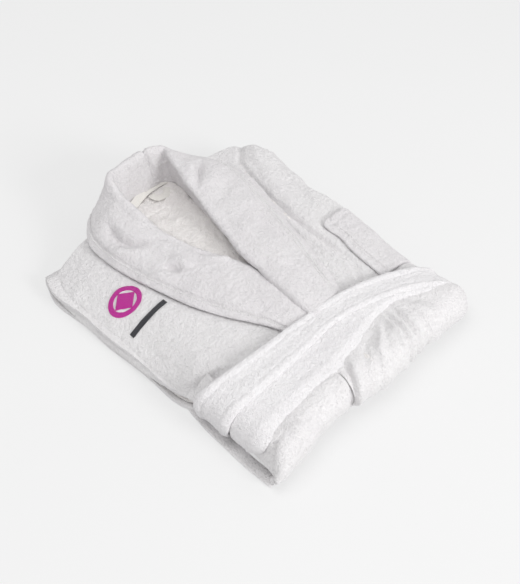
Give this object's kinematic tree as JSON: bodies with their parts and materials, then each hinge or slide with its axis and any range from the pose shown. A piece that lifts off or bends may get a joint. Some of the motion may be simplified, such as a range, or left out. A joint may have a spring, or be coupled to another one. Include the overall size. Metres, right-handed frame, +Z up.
{
  "type": "folded terry bathrobe",
  "caption": "White terry bathrobe with a shawl collar, folded into a flat bundle and held by its own belt wrapped round it.",
  "frame": {"origin": "on the flat underside of the bundle, midway across its width and midway between the front fold and the shoulders", "axes": "+X across the robe to the right as seen from the belt's end, +Y along the robe towards the neck, +Z up, away from what the bundle lies on"},
  "size_m": [0.3328, 0.4308, 0.1],
  "materials": {
    "terry_body": "matte looped terry",
    "terry_inner": "matte looped terry, inner face",
    "terry_collar": "matte velour terry",
    "terry_belt": "matte looped terry",
    "woven_tape": "smooth woven cotton tape",
    "thread_magenta": "satin embroidery thread",
    "thread_grey": "satin embroidery thread"
  },
  "bodies": {
    "robe": {"back_panel": "terry_inner", "front_panel_left": "terry_body", "front_panel_right": "terry_body", "sleeve_left": "terry_body", "sleeve_right": "terry_body", "cuff_left": "terry_collar", "cuff_right": "terry_collar", "collar_roll_left": "terry_collar", "collar_roll_right": "terry_collar", "collar_back": "terry_collar", "neck_tape": "woven_tape", "chest_pocket": "terry_body", "embroidered_emblem": "thread_magenta", "embroidered_bar": "thread_grey", "belt_loop_left": "terry_body", "belt_loop_right": "terry_body"},
    "belt": {"belt_upper_wrap": "terry_belt", "belt_lower_wrap": "terry_belt"},
    "lapel_left": {"lapel_left": "terry_collar"},
    "lapel_right": {"lapel_right": "terry_collar"},
    "hanging_loop": {"hanging_loop": "woven_tape"}
  },
  "joints": [
    {"name": "belt_slide", "type": "slide", "parent": "robe", "child": "belt", "axis": [0, -1, 0], "range_m": [0, 0.17]},
    {"name": "lapel_left_lift", "type": "hinge", "parent": "robe", "child": "lapel_left", "pos_m": [-0.034, -0.08, 0.064], "axis": [-0.0975, 0.9928, 0.0697], "range_deg": [0, 75]},
    {"name": "lapel_right_lift", "type": "hinge", "parent": "robe", "child": "lapel_right", "pos_m": [0.044, -0.08, 0.065], "axis": [-0.0629, -0.9958, -0.0664], "range_deg": [0, 75]},
    {"name": "hanging_loop_swing", "type": "hinge", "parent": "robe", "child": "hanging_loop", "pos_m": [0.006, 0.1962, 0.04996], "axis": [-0.9985, 0, -0.0549], "range_deg": [0, 110]}
  ]
}
